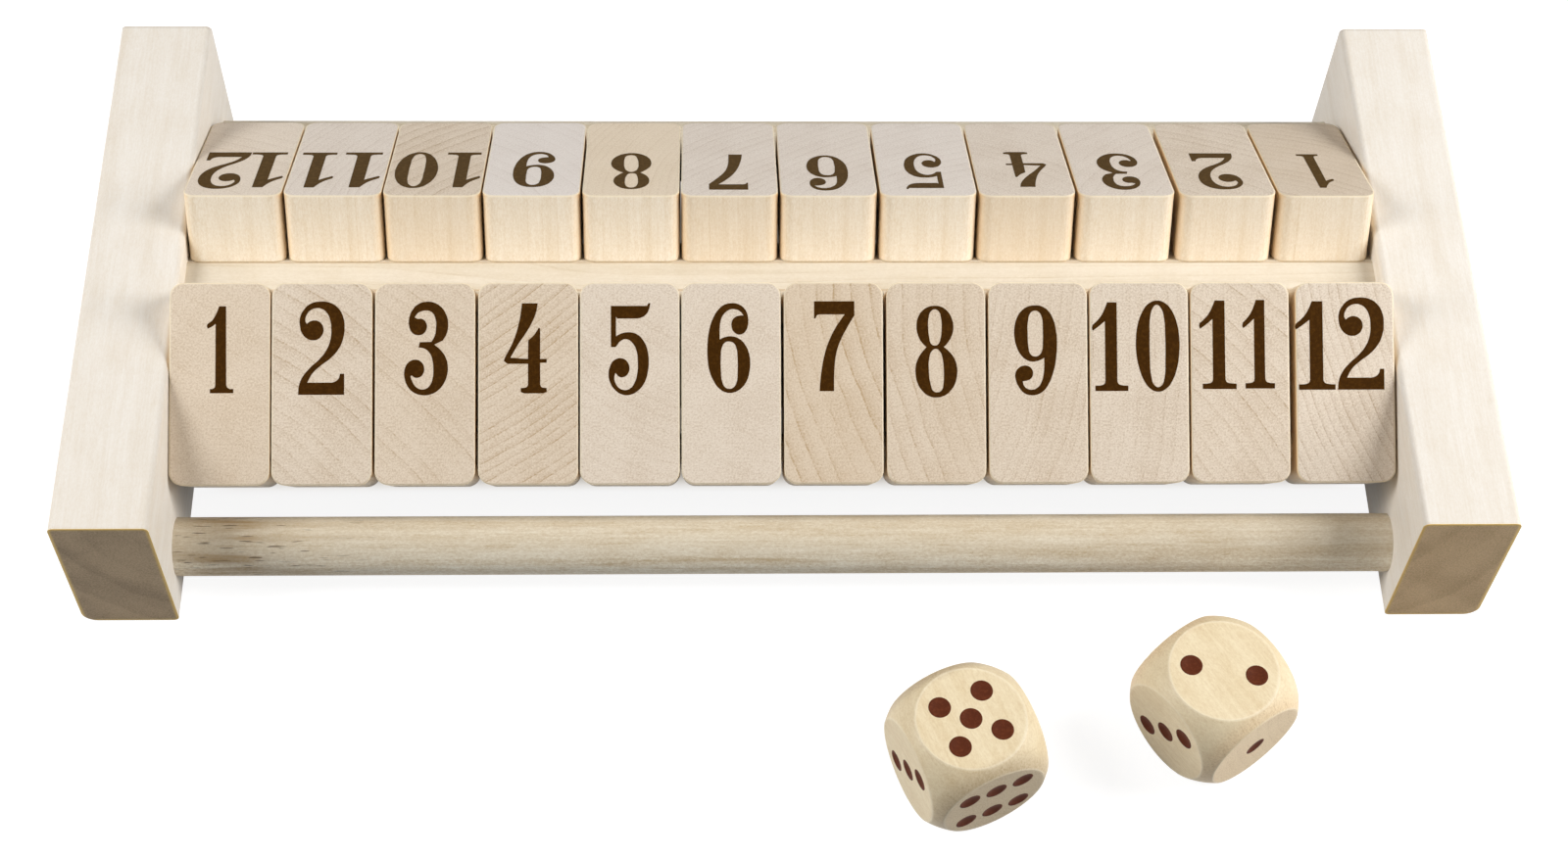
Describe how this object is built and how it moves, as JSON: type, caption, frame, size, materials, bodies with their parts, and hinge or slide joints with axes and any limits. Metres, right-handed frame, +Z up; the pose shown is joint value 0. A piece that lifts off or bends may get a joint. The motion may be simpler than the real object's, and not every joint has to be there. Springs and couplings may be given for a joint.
{
  "type": "shut the box game",
  "caption": "Open wooden game frame: back-to-back rows of hinged numbered tiles lean on a centre beam between side rails and flip down onto stop dowels; loose pipped dice lie in front.",
  "frame": {"origin": "on the table, under the middle of the centre beam's foot", "axes": "+X along the rows, from the 1 to the last number of the front row; +Y from front to back, away from the dice; +Z up"},
  "size_m": [0.2866, 0.1776, 0.0452],
  "materials": {
    "rail_wood": "sanded smooth, clear satin",
    "beam_wood": "sanded smooth, clear satin",
    "pin_wood": "sawn and glued in",
    "axle_wood": "plain rod",
    "dowel_wood": "sanded smooth, clear satin",
    "tile_wood": "sanded smooth, clear satin",
    "die_wood": "tumbled smooth, clear satin, brown pips"
  },
  "bodies": {
    "frame": {"left_rail": "rail_wood", "right_rail": "rail_wood", "centre_beam": "beam_wood", "beam_pins": "pin_wood", "front_axle": "axle_wood", "rear_axle": "axle_wood", "front_dowel": "dowel_wood", "rear_dowel": "dowel_wood"},
    "front_flap_1": {"front_tile_1": "tile_wood"},
    "front_flap_2": {"front_tile_2": "tile_wood"},
    "front_flap_3": {"front_tile_3": "tile_wood"},
    "front_flap_4": {"front_tile_4": "tile_wood"},
    "front_flap_5": {"front_tile_5": "tile_wood"},
    "front_flap_6": {"front_tile_6": "tile_wood"},
    "front_flap_7": {"front_tile_7": "tile_wood"},
    "front_flap_8": {"front_tile_8": "tile_wood"},
    "front_flap_9": {"front_tile_9": "tile_wood"},
    "front_flap_10": {"front_tile_10": "tile_wood"},
    "front_flap_11": {"front_tile_11": "tile_wood"},
    "front_flap_12": {"front_tile_12": "tile_wood"},
    "rear_flap_1": {"rear_tile_1": "tile_wood"},
    "rear_flap_2": {"rear_tile_2": "tile_wood"},
    "rear_flap_3": {"rear_tile_3": "tile_wood"},
    "rear_flap_4": {"rear_tile_4": "tile_wood"},
    "rear_flap_5": {"rear_tile_5": "tile_wood"},
    "rear_flap_6": {"rear_tile_6": "tile_wood"},
    "rear_flap_7": {"rear_tile_7": "tile_wood"},
    "rear_flap_8": {"rear_tile_8": "tile_wood"},
    "rear_flap_9": {"rear_tile_9": "tile_wood"},
    "rear_flap_10": {"rear_tile_10": "tile_wood"},
    "rear_flap_11": {"rear_tile_11": "tile_wood"},
    "rear_flap_12": {"rear_tile_12": "tile_wood"},
    "left_die_loose": {"left_die": "die_wood"},
    "right_die_loose": {"right_die": "die_wood"}
  },
  "joints": [
    {"name": "front_tile_1_flip", "type": "hinge", "parent": "frame", "child": "front_flap_1", "pos_m": [-0.1137, -0.0361, 0.02223], "axis": [1, 0, 0], "range_deg": [0, 146.7]},
    {"name": "front_tile_2_flip", "type": "hinge", "parent": "frame", "child": "front_flap_2", "pos_m": [-0.0933, -0.0361, 0.02223], "axis": [1, 0, 0], "range_deg": [0, 146.7]},
    {"name": "front_tile_3_flip", "type": "hinge", "parent": "frame", "child": "front_flap_3", "pos_m": [-0.0727, -0.0361, 0.02223], "axis": [1, 0, 0], "range_deg": [0, 146.7]},
    {"name": "front_tile_4_flip", "type": "hinge", "parent": "frame", "child": "front_flap_4", "pos_m": [-0.05205, -0.0361, 0.02223], "axis": [1, 0, 0], "range_deg": [0, 146.7]},
    {"name": "front_tile_5_flip", "type": "hinge", "parent": "frame", "child": "front_flap_5", "pos_m": [-0.03165, -0.0361, 0.02223], "axis": [1, 0, 0], "range_deg": [0, 146.7]},
    {"name": "front_tile_6_flip", "type": "hinge", "parent": "frame", "child": "front_flap_6", "pos_m": [-0.01125, -0.0361, 0.02223], "axis": [1, 0, 0], "range_deg": [0, 146.7]},
    {"name": "front_tile_7_flip", "type": "hinge", "parent": "frame", "child": "front_flap_7", "pos_m": [0.0094, -0.0361, 0.02223], "axis": [1, 0, 0], "range_deg": [0, 146.7]},
    {"name": "front_tile_8_flip", "type": "hinge", "parent": "frame", "child": "front_flap_8", "pos_m": [0.03015, -0.0361, 0.02223], "axis": [1, 0, 0], "range_deg": [0, 146.7]},
    {"name": "front_tile_9_flip", "type": "hinge", "parent": "frame", "child": "front_flap_9", "pos_m": [0.0508, -0.0361, 0.02223], "axis": [1, 0, 0], "range_deg": [0, 146.7]},
    {"name": "front_tile_10_flip", "type": "hinge", "parent": "frame", "child": "front_flap_10", "pos_m": [0.07135, -0.0361, 0.02223], "axis": [1, 0, 0], "range_deg": [0, 146.7]},
    {"name": "front_tile_11_flip", "type": "hinge", "parent": "frame", "child": "front_flap_11", "pos_m": [0.0919, -0.0361, 0.02223], "axis": [1, 0, 0], "range_deg": [0, 146.7]},
    {"name": "front_tile_12_flip", "type": "hinge", "parent": "frame", "child": "front_flap_12", "pos_m": [0.11335, -0.0361, 0.02223], "axis": [1, 0, 0], "range_deg": [0, 146.7]},
    {"name": "rear_tile_1_flip", "type": "hinge", "parent": "frame", "child": "rear_flap_1", "pos_m": [0.11305, 0.0361, 0.02223], "axis": [-1, 0, 0], "range_deg": [0, 146.7]},
    {"name": "rear_tile_2_flip", "type": "hinge", "parent": "frame", "child": "rear_flap_2", "pos_m": [0.0923, 0.0361, 0.02223], "axis": [-1, 0, 0], "range_deg": [0, 146.7]},
    {"name": "rear_tile_3_flip", "type": "hinge", "parent": "frame", "child": "rear_flap_3", "pos_m": [0.07115, 0.0361, 0.02223], "axis": [-1, 0, 0], "range_deg": [0, 146.7]},
    {"name": "rear_tile_4_flip", "type": "hinge", "parent": "frame", "child": "rear_flap_4", "pos_m": [0.05045, 0.0361, 0.02223], "axis": [-1, 0, 0], "range_deg": [0, 146.7]},
    {"name": "rear_tile_5_flip", "type": "hinge", "parent": "frame", "child": "rear_flap_5", "pos_m": [0.0299, 0.0361, 0.02223], "axis": [-1, 0, 0], "range_deg": [0, 146.7]},
    {"name": "rear_tile_6_flip", "type": "hinge", "parent": "frame", "child": "rear_flap_6", "pos_m": [0.0092, 0.0361, 0.02223], "axis": [-1, 0, 0], "range_deg": [0, 146.7]},
    {"name": "rear_tile_7_flip", "type": "hinge", "parent": "frame", "child": "rear_flap_7", "pos_m": [-0.01135, 0.0361, 0.02223], "axis": [-1, 0, 0], "range_deg": [0, 146.7]},
    {"name": "rear_tile_8_flip", "type": "hinge", "parent": "frame", "child": "rear_flap_8", "pos_m": [-0.03175, 0.0361, 0.02223], "axis": [-1, 0, 0], "range_deg": [0, 146.7]},
    {"name": "rear_tile_9_flip", "type": "hinge", "parent": "frame", "child": "rear_flap_9", "pos_m": [-0.0523, 0.0361, 0.02223], "axis": [-1, 0, 0], "range_deg": [0, 146.7]},
    {"name": "rear_tile_10_flip", "type": "hinge", "parent": "frame", "child": "rear_flap_10", "pos_m": [-0.07275, 0.0361, 0.02223], "axis": [-1, 0, 0], "range_deg": [0, 146.7]},
    {"name": "rear_tile_11_flip", "type": "hinge", "parent": "frame", "child": "rear_flap_11", "pos_m": [-0.09315, 0.0361, 0.02223], "axis": [-1, 0, 0], "range_deg": [0, 146.7]},
    {"name": "rear_tile_12_flip", "type": "hinge", "parent": "frame", "child": "rear_flap_12", "pos_m": [-0.1136, 0.0361, 0.02223], "axis": [-1, 0, 0], "range_deg": [0, 146.7]},
    {"name": "left_die_lift", "type": "slide", "parent": "frame", "child": "left_die_loose", "axis": [0, 0, 1], "range_m": [0, 0.12]},
    {"name": "right_die_lift", "type": "slide", "parent": "frame", "child": "right_die_loose", "axis": [0, 0, 1], "range_m": [0, 0.12]}
  ]
}
